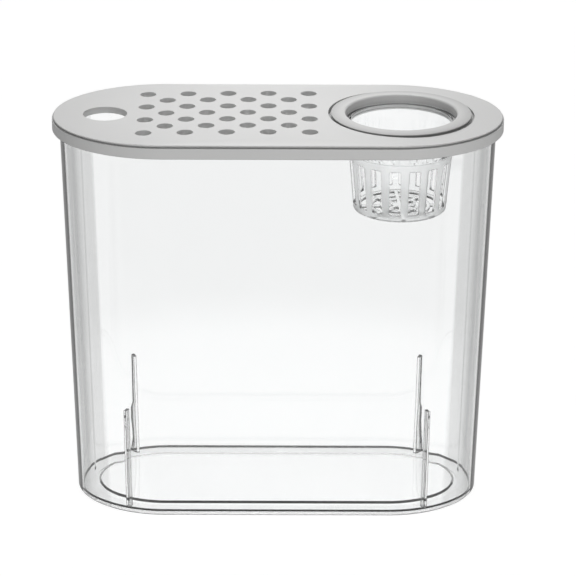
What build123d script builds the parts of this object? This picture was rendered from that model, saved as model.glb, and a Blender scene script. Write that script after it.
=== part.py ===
import os
from math import atan2, cos, radians, sin, tan

from build123d import *

# Small betta fish tank with a lid and a hanging planting basket, in millimetres.
# The origin is the middle of the foot, on the surface that the tank stands on.
# X runs along the tank, feeding hole at -X and planter at +X. The front faces -Y and +Z is up.

# Plan of the lid: straight sides, and ends whose tips are a little tighter than their shoulders
lid_length = 221.2
lid_width = 97.8
tip_drop = 3.9
tip_shift = 9.3

# Tank
tank_height = 195.6
tank_wall = 2.2
floor_thickness = 2.2
wall_draft = 1.55
foot_width = 9.3
floor_step = 1.0
floor_step_run = 2.4
outer_corner_radius = 1.3
inner_corner_radius = 0.5
tank_rim_radius = 0.6

# Upright ribs inside the rounded ends of the tank
rib_height = 53.9
rib_thickness = 1.5
rib_reach_top = 3.0
rib_reach_floor = 3.8
rib_angle = 67.5

# Lid
skirt_gap = 0.95
skirt_thickness = 2.6
skirt_depth = 3.5
skirt_edge_radius = 0.5
plate_thickness = 1.95
groove_height = 0.95
groove_depth = 2.0
lip_height = 0.35
lip_inset = 0.6
crown_rise = 1.05
crown_length = 146.0
edge_round_width = 12.0
underside_rise = 0.6
underside_border = 11.0

# Openings in the lid
feed_hole_diameter = 21.6
feed_hole_x = -84.6
vent_diameter = 8.0
vent_pitch = 20.0
vent_columns = 5
vent_rows = 4
vent_x = -24.7

# Planter ring, which stands in a round seat in the lid
ring_x = 60.3
ring_diameter = 68.8
ring_bore = 54.6
ring_height = 2.8
ring_crest = 1.6
ring_fall = 0.3
ring_lip = 0.4
ring_flange = 1.1
ring_undercut = 2.0
ring_seat_depth = 1.35
ring_seat_gap = 1.4
ring_edge_radius = 0.3
ring_mouth_radius = 1.0
spigot_wall = 2.2
spigot_gap = 0.4
spigot_edge_radius = 0.6
ledge_depth = 6.1
ledge_thickness = 0.9

# Net basket, which hangs by its rim on the ledge inside the ring
rim_gap = 0.2
collar_gap = 0.4
basket_height = 44.8
basket_wall = 1.2
basket_rim = 1.8
basket_floor = 1.4
collar_diameter = 51.8
collar_length = 14.5
collar_step = 0.3
basket_foot_diameter = 45.7
basket_foot_radius = 1.0
slot_count = 16
slot_width = 5.6
slot_low = 3.6
slot_height = 23.0
slot_corner_radius = 0.7
rib_turn = 3.0
spoke_count = 8
spoke_width = 1.8
lattice_rings = ((15.2, 19.6), (9.8, 13.4), (3.6, 8.0))

# Offsets and levels that follow from the sizes above
lid_half_length = lid_length / 2
lid_half_width = lid_width / 2
tip_radius = lid_half_width - tip_drop
shoulder_radius = tip_shift**2 / (2 * tip_drop) + lid_half_width - tip_drop / 2
straight_half = lid_half_length - tip_radius - tip_shift
shoulder_centre = lid_half_width - shoulder_radius
draft_slope = tan(radians(wall_draft))
rim_inset = skirt_thickness + skirt_gap
foot_inset = rim_inset + tank_height * draft_slope
skirt_bottom = tank_height - skirt_depth
groove_bottom = tank_height + plate_thickness
groove_top = groove_bottom + groove_height
end_level = groove_top + lip_height
crown_level = end_level + crown_rise
ring_seat = end_level - ring_seat_depth
ring_top = ring_seat + ring_height
ledge_level = ring_top - ledge_depth
ring_radius = ring_diameter / 2
neck_radius = ring_radius - ring_undercut
spigot_radius = ring_bore / 2 + spigot_wall
ledge_radius = collar_diameter / 2 + collar_gap
basket_top = ledge_level + basket_rim
basket_base = basket_top - basket_height


def plan_outline(level, inset):
    """Closed plan outline at one level, moved inwards by inset from the lid's own outline."""
    reach = shoulder_radius - inset
    join_angle = atan2(-shoulder_centre, tip_shift)
    middle_angle = (join_angle + radians(90)) / 2
    join, middle, top = (
        (straight_half + reach * cos(angle), shoulder_centre + reach * sin(angle))
        for angle in (join_angle, middle_angle, radians(90))
    )
    tip = (lid_half_length - inset, 0)

    def quarter(point, side, face):
        return point[0] * side, point[1] * face

    with BuildSketch(Plane.XY.offset(level)) as profile:
        with BuildLine():
            for face in (1, -1):
                Line(quarter(top, -1, face), quarter(top, 1, face))
            for side in (1, -1):
                for face in (1, -1):
                    ThreePointArc(
                        quarter(top, side, face),
                        quarter(middle, side, face),
                        quarter(join, side, face),
                    )
                ThreePointArc(quarter(join, side, 1), quarter(tip, side, 1), quarter(join, side, -1))
        make_face()
    return profile.sketch


def inner_wall_reach(level):
    """Distance from a shoulder's centre to the tank's inner wall at one level."""
    return shoulder_radius - foot_inset - tank_wall + level * draft_slope


# Space inside the tank, with the same draft as the outside
with BuildPart() as cavity:
    extrude(
        plan_outline(floor_thickness, foot_inset + tank_wall - floor_thickness * draft_slope),
        amount=tank_height,
        taper=-wall_draft,
    )
    fillet(cavity.faces().sort_by(Axis.Z)[0].edges(), inner_corner_radius)

# Tank: thin drafted walls on a ring foot, with the middle of the floor stepped up
with BuildPart() as tank:
    extrude(plan_outline(0, foot_inset), amount=tank_height, taper=-wall_draft)
    fillet(tank.faces().sort_by(Axis.Z)[0].edges(), outer_corner_radius)
    add(cavity.part, mode=Mode.SUBTRACT)
    fillet(tank.faces().sort_by(Axis.Z)[-1].edges(), tank_rim_radius)
    step_inset = foot_inset + foot_width
    for start, mode in ((floor_thickness, Mode.ADD), (0, Mode.SUBTRACT)):
        step_foot = plan_outline(start, step_inset)
        step_top = plan_outline(start + floor_step, step_inset + floor_step_run)
        loft([step_foot.face(), step_top.face()], ruled=True, mode=mode)

    # One thin rib in each quarter, square to the wall, a little deeper at the floor
    rib_top = floor_thickness + rib_height
    rib_root = floor_thickness / 2
    for side in (1, -1):
        for face in (1, -1):
            along = (side * cos(radians(rib_angle)), face * sin(radians(rib_angle)), 0)
            across = (along[1], -along[0], 0)
            centre = (side * straight_half, face * shoulder_centre, 0)
            with BuildSketch(Plane(origin=centre, x_dir=along, z_dir=across)):
                with BuildLine():
                    Polyline(
                        (inner_wall_reach(rib_root) - rib_reach_floor, rib_root),
                        (inner_wall_reach(rib_top) - rib_reach_top, rib_top),
                        (inner_wall_reach(rib_top) + tank_wall / 2, rib_top),
                        (inner_wall_reach(rib_root) + tank_wall / 2, rib_root),
                        close=True,
                    )
                make_face()
            extrude(amount=rib_thickness / 2, both=True)

# Envelope of the lid's top: level at both ends and gently crowned along the middle
with BuildPart() as crown_envelope:
    with BuildSketch(Plane.XZ):
        with BuildLine():
            crown_half = crown_length / 2
            ThreePointArc((-crown_half, end_level), (0, crown_level), (crown_half, end_level))
            Polyline(
                (crown_half, end_level),
                (lid_length, end_level),
                (lid_length, groove_top),
                (-lid_length, groove_top),
                (-lid_length, end_level),
                (-crown_half, end_level),
            )
        make_face()
    extrude(amount=lid_width, both=True)

# Top panel of the lid, a little inside the skirt: its border rolls down in a quarter ellipse
with BuildPart() as top_panel:
    round_start = plan_outline(groove_top, edge_round_width)
    extrude(round_start, amount=crown_level - groove_top)
    round_path = round_start.wire()
    outward = (0, (round_path @ 0).Y, 0)
    round_reach = edge_round_width - lip_inset
    with BuildSketch(Plane(origin=round_path @ 0, x_dir=outward, z_dir=round_path % 0)):
        Ellipse(round_reach, crown_level - groove_top)
        Rectangle(round_reach, lid_width, align=(Align.MAX, Align.CENTER), mode=Mode.SUBTRACT)
    sweep(path=round_path)
    add(crown_envelope.part, mode=Mode.INTERSECT)

# Shallow hollow under the crown, which keeps the middle of the plate from being too thick
with BuildPart() as underside_hollow:
    with BuildSketch(Plane.XZ):
        with BuildLine():
            hollow_top = (0, tank_height + underside_rise)
            ThreePointArc((-crown_half, tank_height), hollow_top, (crown_half, tank_height))
            Line((crown_half, tank_height), (-crown_half, tank_height))
        make_face()
    extrude(amount=lid_half_width - underside_border, both=True)

# Lid: skirt, groove and top panel, with the feeding hole, the air holes and the planter's seat
with BuildPart() as lid:
    extrude(plan_outline(skirt_bottom, 0), amount=groove_bottom - skirt_bottom)
    extrude(plan_outline(groove_bottom, groove_depth), amount=groove_height)
    add(top_panel.part)
    extrude(plan_outline(skirt_bottom, skirt_thickness), amount=skirt_depth, mode=Mode.SUBTRACT)
    fillet(lid.faces().sort_by(Axis.Z)[0].outer_wire().edges(), skirt_edge_radius)
    add(underside_hollow.part, mode=Mode.SUBTRACT)
    with BuildSketch(Plane.XY.offset(crown_level)):
        with Locations((feed_hole_x, 0)):
            Circle(feed_hole_diameter / 2)
        with Locations((ring_x, 0)):
            Circle(spigot_radius + spigot_gap)
        with Locations((vent_x, 0)):
            with GridLocations(vent_pitch, vent_pitch, vent_columns, vent_rows):
                Circle(vent_diameter / 2)
            with GridLocations(vent_pitch, vent_pitch, vent_columns - 1, vent_rows - 1):
                Circle(vent_diameter / 2)
    extrude(amount=skirt_bottom - crown_level, mode=Mode.SUBTRACT)
    with BuildSketch(Plane.XY.offset(ring_seat)):
        with Locations((ring_x, 0)):
            Circle(ring_radius + ring_seat_gap)
    extrude(amount=crown_level - ring_seat, mode=Mode.SUBTRACT)

# Section through the planter's upright axis, which the ring and the basket are turned about
planter_section = Plane(origin=(ring_x, 0, 0), x_dir=(1, 0, 0), z_dir=(0, -1, 0))
planter_axis = Axis((ring_x, 0, 0), (0, 0, 1))

# Planter ring: a thin-lipped flange over a neck in the lid's seat, and a spigot with a ledge inside
with BuildPart() as planter_ring:
    with BuildSketch(planter_section):
        with BuildLine():
            Polyline(
                (ledge_radius, ledge_level - ledge_thickness),
                (spigot_radius, ledge_level - ledge_thickness),
                (spigot_radius, ring_seat),
                (neck_radius, ring_seat),
                (neck_radius, ring_top - ring_flange),
                (ring_radius, ring_top - ring_fall - ring_lip),
                (ring_radius, ring_top - ring_fall),
                (ring_bore / 2 + ring_crest, ring_top),
                (ring_bore / 2, ring_top),
                (ring_bore / 2, ledge_level),
                (ledge_radius, ledge_level),
                close=True,
            )
        make_face()
    revolve(axis=planter_axis)
    fillet(planter_ring.faces().sort_by(Axis.Z)[-1].edges().sort_by(SortBy.RADIUS)[0], ring_mouth_radius)
    flange_edges = planter_ring.edges().filter_by(GeomType.CIRCLE).sort_by(SortBy.RADIUS)[-2:]
    fillet(flange_edges.sort_by(Axis.Z)[-1], ring_edge_radius)
    fillet(planter_ring.faces().sort_by(Axis.Z)[0].edges().sort_by(SortBy.RADIUS)[-1], spigot_edge_radius)

# One wall slot of the basket, cut outwards from its axis
with BuildPart() as wall_slot:
    with BuildSketch(Plane.YZ):
        with Locations((0, basket_base + slot_low)):
            Rectangle(slot_width, slot_height, align=(Align.CENTER, Align.MIN))
        fillet(vertices(), slot_corner_radius)
    extrude(amount=collar_diameter)

# Net basket: a hung rim, a plain collar, a tapered slotted wall and a lattice floor
with BuildPart() as net_basket:
    collar_radius = collar_diameter / 2
    body_radius = collar_radius - collar_step
    foot_radius = basket_foot_diameter / 2
    collar_bottom = basket_top - collar_length
    with BuildSketch(planter_section):
        with BuildLine():
            Polyline(
                (0, basket_base),
                (foot_radius, basket_base),
                (body_radius, collar_bottom),
                (collar_radius, collar_bottom),
                (collar_radius, ledge_level),
                (ring_bore / 2 - rim_gap, ledge_level),
                (ring_bore / 2 - rim_gap, basket_top),
                (collar_radius - basket_wall, basket_top),
                (collar_radius - basket_wall, collar_bottom + basket_wall),
                (body_radius - basket_wall, collar_bottom),
                (foot_radius - basket_wall, basket_base + basket_floor),
                (0, basket_base + basket_floor),
                close=True,
            )
        make_face()
    revolve(axis=planter_axis)
    fillet(net_basket.edges().filter_by(GeomType.CIRCLE).sort_by(Axis.Z)[0], basket_foot_radius)
    with Locations((ring_x, 0, 0)):
        with PolarLocations(0, slot_count, start_angle=rib_turn + 180 / slot_count):
            add(wall_slot.part, mode=Mode.SUBTRACT)
    with BuildSketch(Plane(origin=(ring_x, 0, basket_base))):
        for inner, outer in lattice_rings:
            Circle(outer)
            Circle(inner, mode=Mode.SUBTRACT)
            with PolarLocations(0, spoke_count, start_angle=rib_turn):
                Rectangle(outer, spoke_width, align=(Align.MIN, Align.CENTER), mode=Mode.SUBTRACT)
    extrude(amount=basket_floor, mode=Mode.SUBTRACT)

tank.part.label = "tank"
lid.part.label = "lid"
planter_ring.part.label = "planter_ring"
net_basket.part.label = "net_basket"

os.makedirs("parts", exist_ok=True)
export_step(tank.part, "parts/tank.step")
export_step(lid.part, "parts/lid.step")
export_step(planter_ring.part, "parts/planter_ring.step")
export_step(net_basket.part, "parts/net_basket.step")
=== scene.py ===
from math import radians

import bmesh
import bpy
from mathutils import Matrix, Vector

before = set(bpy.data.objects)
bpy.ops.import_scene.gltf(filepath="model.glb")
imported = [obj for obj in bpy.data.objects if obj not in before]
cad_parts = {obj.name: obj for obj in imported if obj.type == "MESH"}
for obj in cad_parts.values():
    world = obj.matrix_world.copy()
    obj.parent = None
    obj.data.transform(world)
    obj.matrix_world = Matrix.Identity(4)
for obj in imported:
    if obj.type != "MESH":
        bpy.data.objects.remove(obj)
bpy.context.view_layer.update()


# The clear tank is one injection moulding in hard, glass-clear styrene plastic, about 2 mm thick.
# It stands on a narrow ring round its floor. Its rounded ends are painted grey and its edges, foot and
# ribs
# get thin painted dark lines: painted shade for the light that runs along inside its walls and comes
# out dim.
tank_skin = {
    "Colour": (0.985, 0.99, 0.99, 1),
    "Drift": 0.01,
    "Roughness": 0.012,
    "Roughness Drift": 0.01,
    "Grain Scale": 60.0,
    "Grain": 0.1,
    "Scratches": 0.02,
}
tank_bump = 0.05
tank_refraction = 1.56
tank_dimming = 15.0
tank_slant_shade_tones = (
    (0.0, 0.98),
    (0.125, 0.98),
    (0.14, 1.0),
    (0.285, 1.0),
    (0.31, 0.77),
    (0.44, 0.74),
    (0.485, 0.64),
    (0.54, 0.5),
    (0.59, 0.42),
    (0.63, 0.45),
    (0.67, 0.72),
    (1.0, 0.72),
)
tank_edge_reach, tank_edge_shade_grey = 0.0008, 0.02


def plug(tree, value, socket):
    """Gives a socket another socket's value, or a plain one."""
    if isinstance(value, bpy.types.NodeSocket):
        tree.links.new(value, socket)
    else:
        socket.default_value = value


def reading(tree, kind, output):
    """The output of a new node that reads the surface or the ray."""
    return tree.nodes.new(kind).outputs[output]


def number(tree, operation, *values):
    """A Math node on plain numbers or sockets."""
    node = tree.nodes.new("ShaderNodeMath")
    node.operation = operation
    for value, socket in zip(values, node.inputs):
        plug(tree, value, socket)
    return node.outputs[0]


def ranged(tree, value, source, made):
    """Turns one pair of numbers into another, and holds them beyond each end."""
    node = tree.nodes.new("ShaderNodeMapRange")
    labels = ("Value", "From Min", "From Max", "To Min", "To Max")
    for label, amount in zip(labels, (value, *source, *made)):
        plug(tree, amount, node.inputs[label])
    return node.outputs["Result"]


def noise(tree, vector, scale, detail):
    """A noise pattern from 0 to 1."""
    node = tree.nodes.new("ShaderNodeTexNoise")
    for label, amount in (("Vector", vector), ("Scale", scale), ("Detail", detail)):
        plug(tree, amount, node.inputs[label])
    return node.outputs["Fac"]


def scaled(tree, colour, amount):
    """A colour times a number."""
    node = tree.nodes.new("ShaderNodeVectorMath")
    node.operation = "SCALE"
    tree.links.new(colour, node.inputs[0])
    tree.links.new(amount, node.inputs["Scale"])
    return node.outputs["Vector"]


def effect(name, given, made):
    """An empty shader node group with named inputs and outputs."""
    tree = bpy.data.node_groups.new(name, "ShaderNodeTree")
    for side, labels in (("INPUT", given), ("OUTPUT", made)):
        for label in labels:
            kind = "NodeSocketColor" if label == "Colour" else "NodeSocketFloat"
            tree.interface.new_socket(label, in_out=side, socket_type=kind)
    return tree, tree.nodes.new("NodeGroupInput").outputs, tree.nodes.new("NodeGroupOutput").inputs


def make_moulded_surface():
    """Effect for the skin of a moulded piece: slow tone drift, fine grain and hair scratches."""
    drift_scale, drift_detail = 34.0, 3.0
    grain_detail = 2.0
    scratch_turns = ((0.4, 0.2, 0.5), (-0.5, 0.9, -0.7))
    scratch_stretch = (30.0, 1400.0, 1400.0)
    scratch_cut = (0.71, 0.8)
    scratch_roughness = 0.25
    tree, given, made = effect(
        "moulded_surface",
        ("Colour", "Drift", "Roughness", "Roughness Drift", "Grain Scale", "Grain", "Scratches"),
        ("Colour", "Roughness", "Height"),
    )
    place = reading(tree, "ShaderNodeTexCoord", "Object")
    slow = number(tree, "SUBTRACT", noise(tree, place, drift_scale, drift_detail), 0.5)
    grain = noise(tree, place, given["Grain Scale"], grain_detail)

    # Hair scratches: noise stretched along two slanting directions, cut off to thin streaks
    streaks = []
    for turn in scratch_turns:
        stretch = tree.nodes.new("ShaderNodeMapping")
        stretch.inputs["Rotation"].default_value = turn
        stretch.inputs["Scale"].default_value = scratch_stretch
        tree.links.new(place, stretch.inputs["Vector"])
        streaks.append(noise(tree, stretch.outputs["Vector"], 1.0, 1.0))
    streak = ranged(tree, number(tree, "MAXIMUM", *streaks), scratch_cut, (0.0, 1.0))
    scratch = number(tree, "MULTIPLY", streak, given["Scratches"])

    drift = number(tree, "ADD", number(tree, "MULTIPLY", slow, given["Drift"]), 1.0)
    rough = number(tree, "MULTIPLY_ADD", slow, given["Roughness Drift"], given["Roughness"])
    height = number(tree, "MULTIPLY", grain, given["Grain"])
    tree.links.new(scaled(tree, given["Colour"], drift), made["Colour"])
    tree.links.new(number(tree, "MULTIPLY_ADD", scratch, scratch_roughness, rough), made["Roughness"])
    tree.links.new(number(tree, "SUBTRACT", height, scratch), made["Height"])
    return tree


moulded_surface = make_moulded_surface()


def placed(tree, group, values):
    """Places an effect in a material with its own values, and gives its outputs."""
    node = tree.nodes.new("ShaderNodeGroup")
    node.node_tree = group
    for label, value in values.items():
        plug(tree, value, node.inputs[label])
    return node.outputs


def plastic(name, skin, bump_height, bump_strength):
    """A material whose Principled shader has the skin of a moulded piece."""
    material = bpy.data.materials.new(name)
    material.use_nodes = True
    tree = material.node_tree
    shader = tree.nodes["Principled BSDF"]
    surface = placed(tree, moulded_surface, skin)
    bump = tree.nodes.new("ShaderNodeBump")
    bump.inputs["Strength"].default_value = bump_strength
    bump.inputs["Distance"].default_value = bump_height
    tree.links.new(surface["Colour"], shader.inputs["Base Color"])
    tree.links.new(surface["Roughness"], shader.inputs["Roughness"])
    tree.links.new(surface["Height"], bump.inputs["Height"])
    tree.links.new(bump.outputs["Normal"], shader.inputs["Normal"])
    return material


def clear_plastic(name, skin, bump_strength, refraction, dimming):
    """A glass-clear plastic, which dims light inside it and casts only a faint shadow."""
    shadow_tone = 0.9
    bump_height = 0.0002
    material = plastic(name, skin, bump_height, bump_strength)
    tree = material.node_tree
    shader = tree.nodes["Principled BSDF"]
    shader.inputs["Transmission Weight"].default_value = 1.0
    shader.inputs["IOR"].default_value = refraction
    through = tree.nodes.new("ShaderNodeBsdfTransparent")
    through.inputs["Color"].default_value = (shadow_tone, shadow_tone, shadow_tone, 1)
    mix = tree.nodes.new("ShaderNodeMixShader")
    tree.links.new(reading(tree, "ShaderNodeLightPath", "Is Shadow Ray"), mix.inputs["Fac"])
    tree.links.new(shader.outputs["BSDF"], mix.inputs[1])
    tree.links.new(through.outputs["BSDF"], mix.inputs[2])
    inside = tree.nodes.new("ShaderNodeVolumeAbsorption")
    inside.inputs["Color"].default_value = (0, 0, 0, 1)
    inside.inputs["Density"].default_value = dimming
    output = tree.nodes["Material Output"]
    tree.links.new(mix.outputs["Shader"], output.inputs["Surface"])
    tree.links.new(inside.outputs["Volume"], output.inputs["Volume"])
    return material


tank_plastic = clear_plastic("clear_tank", tank_skin, tank_bump, tank_refraction, tank_dimming)
tree = tank_plastic.node_tree


def tone(material, amount):
    """Multiplies a material's base colour by a number."""
    tree = material.node_tree
    base = tree.nodes["Principled BSDF"].inputs["Base Color"]
    tree.links.new(scaled(tree, base.links[0].from_socket, amount), base)


def shade(material, mask, share):
    """Brings a material's base colour to a share of itself where a mask is 1."""
    tone(material, ranged(material.node_tree, mask, (0.0, 1.0), (1.0, share)))


def roughen(material, amount):
    """Adds to a material's roughness."""
    tree = material.node_tree
    rough = tree.nodes["Principled BSDF"].inputs["Roughness"]
    tree.links.new(number(tree, "ADD", rough.links[0].from_socket, amount), rough)


def overlap(tree, mask, *others):
    """The product of two or more masks."""
    for other in others:
        mask = number(tree, "MULTIPLY", mask, other)
    return mask


def split(tree, vector):
    """A vector's X, Y and Z."""
    node = tree.nodes.new("ShaderNodeSeparateXYZ")
    tree.links.new(vector, node.inputs["Vector"])
    return node.outputs["X"], node.outputs["Y"], node.outputs["Z"]


def ramp(tree, value, stops):
    """A grey colour ramp through stops of place and grey."""
    node = tree.nodes.new("ShaderNodeValToRGB")
    elements = node.color_ramp.elements
    for count, (place, grey) in enumerate(stops):
        stop = elements[count] if count < 2 else elements.new(place)
        stop.position = place
        stop.color = (grey, grey, grey, 1)
    tree.links.new(value, node.inputs["Fac"])
    return node.outputs["Color"]


def turned_away(tree):
    """0 where a surface faces the eye, and 1 where it turns edge-on."""
    node = tree.nodes.new("ShaderNodeLayerWeight")
    node.inputs["Blend"].default_value = 0.5
    return node.outputs["Facing"]


def paint_slant_shade(material, mask, stops):
    """Paints shade on clear plastic: greys it where it slants away from the eye, as far as a mask lets
    it.
    """
    tree = material.node_tree
    base = tree.nodes["Principled BSDF"].inputs["Base Color"]
    mix = tree.nodes.new("ShaderNodeMix")
    mix.data_type = "RGBA"
    mix.blend_type = "MULTIPLY"
    factor, skin, grey = mix.inputs["Factor"], mix.inputs[6], mix.inputs[7]
    tree.links.new(mask, factor)
    tree.links.new(base.links[0].from_socket, skin)
    tree.links.new(ramp(tree, turned_away(tree), stops), grey)
    tree.links.new(mix.outputs[2], base)


def make_upright_walls():
    """Effect for clear plastic: 1 on walls as steep as Upright, down to 0 on faces as flat as Level."""
    tree, given, made = effect("upright_walls", ("Upright", "Level"), ("Mask",))
    flatness = number(tree, "ABSOLUTE", split(tree, reading(tree, "ShaderNodeTexCoord", "Normal"))[2])
    mask = ranged(tree, flatness, (given["Upright"], given["Level"]), (1.0, 0.0))
    tree.links.new(mask, made["Mask"])
    return tree


def make_painted_edge_shade():
    """Effect for clear plastic: painted shade, a tone that falls to a dark grey along sharp edges."""
    edge_turn = (0.93, 0.985)
    tree, given, made = effect("painted_edge_shade", ("Reach", "Shade Grey"), ("Tone",))
    rounded = tree.nodes.new("ShaderNodeBevel")
    rounded.samples = 12
    tree.links.new(given["Reach"], rounded.inputs["Radius"])
    turn = tree.nodes.new("ShaderNodeVectorMath")
    turn.operation = "DOT_PRODUCT"
    tree.links.new(rounded.outputs["Normal"], turn.inputs[0])
    tree.links.new(reading(tree, "ShaderNodeNewGeometry", "Normal"), turn.inputs[1])
    same = number(tree, "ABSOLUTE", turn.outputs["Value"])
    tree.links.new(ranged(tree, same, edge_turn, (given["Shade Grey"], 1.0)), made["Tone"])
    return tree


upright_walls = make_upright_walls()
painted_edge_shade = make_painted_edge_shade()
wall_slant = {"Upright": 0.1, "Level": 0.4}
# Painted shade: the walls' colour greys where they slant away from the eye, only on their outer side
upright = placed(tree, upright_walls, wall_slant)["Mask"]
outside = number(tree, "SUBTRACT", 1.0, reading(tree, "ShaderNodeNewGeometry", "Backfacing"))
paint_slant_shade(tank_plastic, overlap(tree, upright, outside), tank_slant_shade_tones)
# Painted shade: thin dark lines along the tank's sharp edges
tank_edges = {"Reach": tank_edge_reach, "Shade Grey": tank_edge_shade_grey}
tone(tank_plastic, placed(tree, painted_edge_shade, tank_edges)["Tone"])

# Seen from above, the tank follows the lid's outline: a straight front and back, and ends of two
# wide shoulder arcs and a tip arc. The walls draw in towards the foot.
half_width = 0.0489
straight_half = 0.0563
tip_shift, tip_radius = 0.0093, 0.045
shoulder_centre, shoulder_radius = -0.00914, 0.05804
foot_inset = 0.00884
wall_slope = 0.02706
skin_depth = 0.0011


def wall_inset(tree, along, across):
    """How far a point of the tank lies inside the lid's outline, seen from above."""

    def inside_arc(centre_along, centre_across, radius):
        """How far a point lies from an arc's centre along and across, and how far inside the arc."""
        side = number(tree, "SUBTRACT", along, centre_along)
        out = number(tree, "SUBTRACT", across, centre_across)
        square = number(tree, "MULTIPLY_ADD", side, side, number(tree, "MULTIPLY", out, out))
        return side, out, number(tree, "SUBTRACT", radius, number(tree, "POWER", square, 0.5))

    def either(mask, otherwise, chosen):
        """One number where a mask is 1, and another where it is 0."""
        mix = tree.nodes.new("ShaderNodeMix")
        for label, value in (("Factor", mask), ("A", otherwise), ("B", chosen)):
            tree.links.new(value, mix.inputs[label])
        return mix.outputs["Result"]

    beyond, out, shoulder = inside_arc(straight_half, shoulder_centre, shoulder_radius)
    tip = inside_arc(straight_half + tip_shift, 0.0, tip_radius)[2]
    arcs_meet = number(tree, "MULTIPLY", beyond, -shoulder_centre / tip_shift)
    rounded = either(number(tree, "LESS_THAN", out, arcs_meet), shoulder, tip)
    straight = number(tree, "SUBTRACT", half_width, across)
    return either(number(tree, "GREATER_THAN", beyond, 0.0), straight, rounded)


along, across, above = split(tree, reading(tree, "ShaderNodeTexCoord", "Object"))
along = number(tree, "ABSOLUTE", along)
across = number(tree, "ABSOLUTE", across)
inset = wall_inset(tree, along, across)

# How deep a point lies inside the wall, once the wall's slope is taken off
inset_at_foot = number(tree, "MULTIPLY_ADD", above, wall_slope, inset)
wall_depth = number(tree, "SUBTRACT", inset_at_foot, foot_inset)
outer_skin = number(tree, "LESS_THAN", wall_depth, skin_depth)

# Painted shade: the outer skin is painted as a dark outline where it turns edge-on, and the inner skin
# isn't
outline_slant, outline_shade_tone = (0.69, 0.72), 0.003
outline = ranged(tree, turned_away(tree), outline_slant, (0.0, 1.0))
shade(tank_plastic, overlap(tree, outline, outer_skin), outline_shade_tone)

# Thin dark lines of painted shade run round the bottom, each at its height and its inset in metres:
# where the floor meets the wall, on the outer skin beside it, on the floor's step at the rounded ends,
# and on the foot's lower edge, where the rounded ends are darkest.
wall_foot_height, wall_foot_inset, wall_foot_shade_tone = (0.0021, 0.0031), (0.0100, 0.0118), 0.01
floor_line_height, floor_line_shade_tone = (0.0025, 0.0033), 0.003
step_height, step_inset, step_shade_tone = (0.0029, 0.0033), (0.0199, 0.0208), 0.12
step_ends = (0.055, 0.078)
foot_height, foot_edge_inset = (0.00002, 0.0008), (0.0084, 0.0105)
foot_ends, foot_shade_depth = (0.06, 0.08), (0.6, 0.997)


def between(tree, value, low, high):
    """1 where a value lies from low to high, and 0 elsewhere."""
    return number(tree, "COMPARE", value, (low + high) / 2, (high - low) / 2)


def bottom_line(tree, heights, insets):
    """1 on a line round the tank's bottom, and 0 elsewhere."""
    return overlap(tree, between(tree, above, *heights), between(tree, inset, *insets))


shade(tank_plastic, bottom_line(tree, wall_foot_height, wall_foot_inset), wall_foot_shade_tone)
floor_line = overlap(tree, between(tree, above, *floor_line_height), outer_skin, outside)
shade(tank_plastic, floor_line, floor_line_shade_tone)
at_ends = ranged(tree, along, step_ends, (0.0, 1.0))
step_line = overlap(tree, bottom_line(tree, step_height, step_inset), at_ends)
shade(tank_plastic, step_line, step_shade_tone)
foot_dark = ranged(tree, along, foot_ends, foot_shade_depth)
foot_line = overlap(tree, bottom_line(tree, foot_height, foot_edge_inset), foot_dark)
tone(tank_plastic, number(tree, "SUBTRACT", 1.0, foot_line))

# The foot's underside is satin, so that it stays pale where it stands
underside_height, underside_roughness = (0.0001, 0.0004), 0.9
roughen(tank_plastic, ranged(tree, above, underside_height, (underside_roughness, 0.0)))


def dress(node, material):
    """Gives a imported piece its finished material."""
    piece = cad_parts[node]
    piece.data.materials.clear()
    piece.data.materials.append(material)


dress("tank", tank_plastic)

# The lid is a pale grey cover with a fine satin skin from the mould. It lies on the tank's rim,
# held in place by its skirt, and its top rolls down to a thin groove round the skirt.
lid_skin = {
    "Colour": (0.70, 0.70, 0.695, 1),
    "Drift": 0.03,
    "Roughness": 0.42,
    "Roughness Drift": 0.08,
    "Grain Scale": 1500.0,
    "Grain": 1.0,
    "Scratches": 0.3,
}
satin_grain = 0.00003
lid_bump = 0.5
lid_gloss = 0.2
crevice_reach = 0.003
lid_crevice_tone = 0.75
groove_level = 0.1966
rolled_slope, rolled_least, rolled_shade_tone = (0.88, 0.99), 0.4, 0.72


def make_crevice_shade():
    """Effect for the satin pieces: a tone that falls to Darkest in narrow gaps and grooves."""
    openness = (0.3, 0.9)
    tree, given, made = effect("crevice_shade", ("Reach", "Darkest"), ("Tone",))
    open_air = tree.nodes.new("ShaderNodeAmbientOcclusion")
    open_air.samples = 8
    tree.links.new(given["Reach"], open_air.inputs["Distance"])
    amount = ranged(tree, open_air.outputs["AO"], openness, (given["Darkest"], 1.0))
    tree.links.new(amount, made["Tone"])
    return tree


crevice_shade = make_crevice_shade()


def satin_plastic(name, skin, bump_strength, gloss):
    """An opaque plastic with a fine satin grain."""
    material = plastic(name, skin, satin_grain, bump_strength)
    shader = material.node_tree.nodes["Principled BSDF"]
    shader.inputs["Specular IOR Level"].default_value = gloss
    return material


lid_plastic = satin_plastic("satin_lid", lid_skin, lid_bump, lid_gloss)
tree = lid_plastic.node_tree
lid_crevice = {"Reach": crevice_reach, "Darkest": lid_crevice_tone}
tone(lid_plastic, placed(tree, crevice_shade, lid_crevice)["Tone"])

# Painted shade: the rolled border of the top is painted a little darker than its level middle
upward = split(tree, reading(tree, "ShaderNodeTexCoord", "Normal"))[2]
above = split(tree, reading(tree, "ShaderNodeTexCoord", "Object"))[2]
rolled = ranged(tree, upward, rolled_slope, (1.0, 0.0))
on_top = number(tree, "GREATER_THAN", above, groove_level)
facing_up = number(tree, "GREATER_THAN", upward, rolled_least)
shade(lid_plastic, overlap(tree, rolled, on_top, facing_up), rolled_shade_tone)
dress("lid", lid_plastic)

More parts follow.
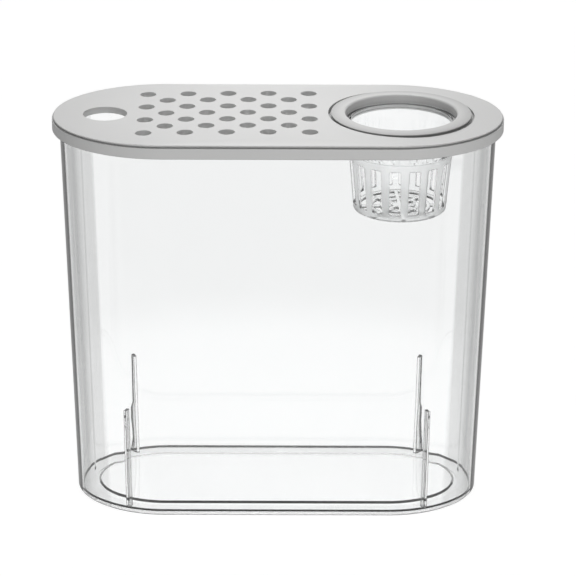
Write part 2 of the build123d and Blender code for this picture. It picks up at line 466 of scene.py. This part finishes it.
# The planter ring is a separate moulding in a slightly darker grey, a little smoother.
# It drops into the round seat of the lid and carries the basket on its inner ledge.
ring_skin = {
    "Colour": (0.64, 0.64, 0.635, 1),
    "Drift": 0.03,
    "Roughness": 0.36,
    "Roughness Drift": 0.06,
    "Grain Scale": 1500.0,
    "Grain": 1.0,
    "Scratches": 0.25,
}
ring_bump = 0.4
ring_gloss = 0.3
ring_crevice_tone = 0.6
ring_x = 0.0603
ledge_level, ledge_painted_light = (0.1955, 0.1965), 0.5
flange_radii, lip_shade_tone = (0.0295, 0.0344), 0.78
ring_plastic = satin_plastic("satin_ring", ring_skin, ring_bump, ring_gloss)
tree = ring_plastic.node_tree

# Painted light makes the ledge paler, with no crevice shade; painted shade darkens the flange towards
# its lip
above = split(tree, reading(tree, "ShaderNodeTexCoord", "Object"))[2]
on_ledge = ranged(tree, above, ledge_level, (1.0, 0.0))
ring_crevice = {"Reach": crevice_reach, "Darkest": ring_crevice_tone}
crevice = placed(tree, crevice_shade, ring_crevice)["Tone"]
tone(ring_plastic, number(tree, "MAXIMUM", crevice, on_ledge))
tone(ring_plastic, number(tree, "MULTIPLY_ADD", on_ledge, ledge_painted_light, 1.0))


def arrow(tree, operation, *values):
    """A Vector Math node on sockets or plain vectors."""
    node = tree.nodes.new("ShaderNodeVectorMath")
    node.operation = operation
    for value, socket in zip(values, node.inputs):
        plug(tree, value, socket)
    return node.outputs["Value" if operation in ("LENGTH", "DOT_PRODUCT") else "Vector"]


def from_ring_axis(tree):
    """The level arrow to a point from the upright axis that the ring and the basket share."""
    away = arrow(tree, "SUBTRACT", reading(tree, "ShaderNodeTexCoord", "Object"), (ring_x, 0, 0))
    return arrow(tree, "MULTIPLY", away, (1, 1, 0))


radius = arrow(tree, "LENGTH", from_ring_axis(tree))
tone(ring_plastic, ranged(tree, radius, flange_radii, (1.0, lip_shade_tone)))
dress("planter_ring", ring_plastic)

# The net basket is a thin clear moulding with a slotted wall and a lattice floor.
# It hangs by its rim inside the ring and lifts out upwards.
basket_skin = {
    "Colour": (0.99, 0.995, 0.995, 1),
    "Drift": 0.02,
    "Roughness": 0.03,
    "Roughness Drift": 0.02,
    "Grain Scale": 300.0,
    "Grain": 0.5,
    "Scratches": 0.05,
}
basket_bump = 0.1
basket_refraction = 1.5
basket_dimming = 10.0
basket_slant_shade_tones = ((0.0, 1.0), (0.4, 0.98), (0.7, 0.75), (0.85, 0.3), (1.0, 0.1))
basket_edge_reach, basket_edge_shade_grey = 0.0004, 0.4
outer_turn = (0.6, 0.8)
collar_foot, collar_share = (0.181, 0.182), 0.15
slot_roughness = 0.25
rim_foot = (0.188, 0.189)
base_level, base_half_width, base_shade_tone = 0.1514, 0.0002, 0.15
basket_plastic = clear_plastic(
    "clear_basket", basket_skin, basket_bump, basket_refraction, basket_dimming
)
tree = basket_plastic.node_tree

# Only the outer side of the slotted wall, below the collar, is slightly satin and has painted shade,
# greyer where it slants away from the eye
above = split(tree, reading(tree, "ShaderNodeTexCoord", "Object"))[2]
outward = arrow(tree, "NORMALIZE", from_ring_axis(tree))
facing_out = arrow(tree, "DOT_PRODUCT", outward, reading(tree, "ShaderNodeTexCoord", "Normal"))
outer_side = ranged(tree, facing_out, outer_turn, (0.0, 1.0))
below_collar = ranged(tree, above, collar_foot, (1.0, collar_share))
slotted = overlap(tree, outer_side, below_collar)
upright = placed(tree, upright_walls, wall_slant)["Mask"]
outside = number(tree, "SUBTRACT", 1.0, reading(tree, "ShaderNodeNewGeometry", "Backfacing"))
paint_slant_shade(basket_plastic, overlap(tree, upright, outside, slotted), basket_slant_shade_tones)
roughen(basket_plastic, number(tree, "MULTIPLY", slotted, slot_roughness))

# Painted shade: sharp edges are painted as thin dark lines, except at the rim, and one painted dark
# line runs round the basket's base
at_rim = ranged(tree, above, rim_foot, (0.0, 1.0))
basket_edges = {"Reach": basket_edge_reach, "Shade Grey": basket_edge_shade_grey}
edges = placed(tree, painted_edge_shade, basket_edges)["Tone"]
tone(basket_plastic, number(tree, "MAXIMUM", edges, at_rim))
base_line = number(tree, "COMPARE", above, base_level, base_half_width)
shade(basket_plastic, base_line, base_shade_tone)
dress("net_basket", basket_plastic)

# Studio floor: plain white paper, which keeps the object's soft shadow. Seen straight on or through
# clear plastic it is white, a little dimmer far away, and mirrored in a surface it is greyer.
floor_reach = 6.0
floor_gap = 0.0001
paper_tone = 0.2
seen_glow = 0.9
mirrored_glow = 0.45
fade_reach, fade_tones = (0.19, 0.27), (1.0, 0.9)
floor_mesh = bmesh.new()
floor_place = Matrix.Translation((0, 0, -floor_gap))
bmesh.ops.create_grid(floor_mesh, x_segments=1, y_segments=1, size=floor_reach, matrix=floor_place)
floor_data = bpy.data.meshes.new("floor")
floor_mesh.to_mesh(floor_data)
floor_mesh.free()
floor = bpy.data.objects.new("floor", floor_data)
bpy.context.scene.collection.objects.link(floor)
floor_paper = bpy.data.materials.new("floor_paper")
floor_paper.use_nodes = True
tree = floor_paper.node_tree
tree.nodes.clear()
paper = tree.nodes.new("ShaderNodeBsdfDiffuse")
paper.inputs["Color"].default_value = (paper_tone, paper_tone, paper_tone, 1)
away = arrow(tree, "LENGTH", reading(tree, "ShaderNodeTexCoord", "Object"))
fade = ranged(tree, away, fade_reach, fade_tones)
fade.node.interpolation_type = "SMOOTHSTEP"
ray = tree.nodes.new("ShaderNodeLightPath").outputs
mirrored = number(tree, "MULTIPLY", ray["Is Glossy Ray"], mirrored_glow)
seen = number(tree, "MAXIMUM", mirrored, ray["Is Transmission Ray"])
unscattered = number(tree, "LESS_THAN", ray["Diffuse Depth"], 0.5)
straight_on = number(tree, "MULTIPLY", ray["Is Camera Ray"], seen_glow)
strength = number(tree, "MAXIMUM", straight_on, overlap(tree, seen, unscattered, fade))
glow = tree.nodes.new("ShaderNodeEmission")
tree.links.new(strength, glow.inputs["Strength"])
both = tree.nodes.new("ShaderNodeAddShader")
tree.links.new(paper.outputs["BSDF"], both.inputs[0])
tree.links.new(glow.outputs["Emission"], both.inputs[1])
output = tree.nodes.new("ShaderNodeOutputMaterial")
tree.links.new(both.outputs["Shader"], output.inputs["Surface"])
floor_data.materials.append(floor_paper)

# Studio surround: white where the camera sees it, an even grey for scattered light, and for
# reflections pale near the ground and overhead, with a dark band between them.
scattered_grey = 0.5
surround_tones = ((0.0, 0.95), (0.42, 0.95), (0.5, 0.45), (0.62, 0.2), (0.75, 0.25), (0.88, 0.95))
surround = bpy.data.worlds.new("surround")
bpy.context.scene.world = surround
surround.use_nodes = True
tree = surround.node_tree
tree.nodes.clear()


def sky(tree, colour):
    """A background shader of one colour."""
    shader = tree.nodes.new("ShaderNodeBackground")
    plug(tree, colour, shader.inputs["Color"])
    return shader.outputs["Background"]


def sky_where(tree, mask, otherwise, chosen):
    """One sky where a mask is 1, and another where it is 0."""
    mix = tree.nodes.new("ShaderNodeMixShader")
    for value, socket in zip((mask, otherwise, chosen), mix.inputs):
        tree.links.new(value, socket)
    return mix.outputs["Shader"]


upward = split(tree, reading(tree, "ShaderNodeTexCoord", "Generated"))[2]
mirrored_sky = sky(tree, ramp(tree, upward, surround_tones))
scattered_sky = sky(tree, (scattered_grey, scattered_grey, scattered_grey, 1))
ray = tree.nodes.new("ShaderNodeLightPath").outputs
scattered = number(tree, "GREATER_THAN", ray["Diffuse Depth"], 0.5)
unseen_sky = sky_where(tree, scattered, mirrored_sky, scattered_sky)
whole_sky = sky_where(tree, ray["Is Camera Ray"], unseen_sky, sky(tree, (1, 1, 1, 1)))
output = tree.nodes.new("ShaderNodeOutputWorld")
tree.links.new(whole_sky, output.inputs["Surface"])

# Studio lamps: a small one high behind the tank lights the lid's top, and a wide low one in front
# lights its skirt. Power is in watts and spread in degrees.
lid_top, lid_skirt = (0.0, 0.0, 0.2), (0.0, 0.0, 0.15)


def lamp(name, place, aim, size, power, spread):
    """A soft rectangular lamp at a place, turned to shine at a point."""
    light = bpy.data.lights.new(name, "AREA")
    light.shape = "RECTANGLE"
    light.size, light.size_y = size
    light.energy = power
    light.spread = radians(spread)
    holder = bpy.data.objects.new(name, light)
    holder.location = place
    holder.rotation_euler = (Vector(aim) - Vector(place)).to_track_quat("-Z", "Y").to_euler()
    bpy.context.scene.collection.objects.link(holder)
    holder.visible_camera = False


lamp("top_lamp", place=(-0.02, 0.6, 1.15), aim=lid_top, size=(0.14, 0.14), power=0.1, spread=20)
lamp("front_lamp", place=(0.25, -1.2, 0.1), aim=lid_skirt, size=(0.9, 0.3), power=6.0, spread=180)

# Camera: the photograph's own viewpoint, about 1.4 m in front of the tank, looking down 22 degrees,
# with a long lens and a slight roll. Its lens and sensor are in millimetres.
camera_place = Vector((-0.00308, -1.31703, 0.6344))
camera_aim = Vector((0.00535, 0.0, 0.1073))
camera_roll = radians(0.327)
camera_data = bpy.data.cameras.new("camera")
camera_data.lens = 176.84
camera_data.sensor_width = 36.0
camera = bpy.data.objects.new("camera", camera_data)
turn = (camera_aim - camera_place).to_track_quat("-Z", "Y").to_matrix().to_4x4()
camera.matrix_world = Matrix.Translation(camera_place) @ turn @ Matrix.Rotation(camera_roll, 4, "Z")
bpy.context.scene.collection.objects.link(camera)
bpy.context.scene.camera = camera

bpy.context.scene.view_settings.view_transform = "Standard"
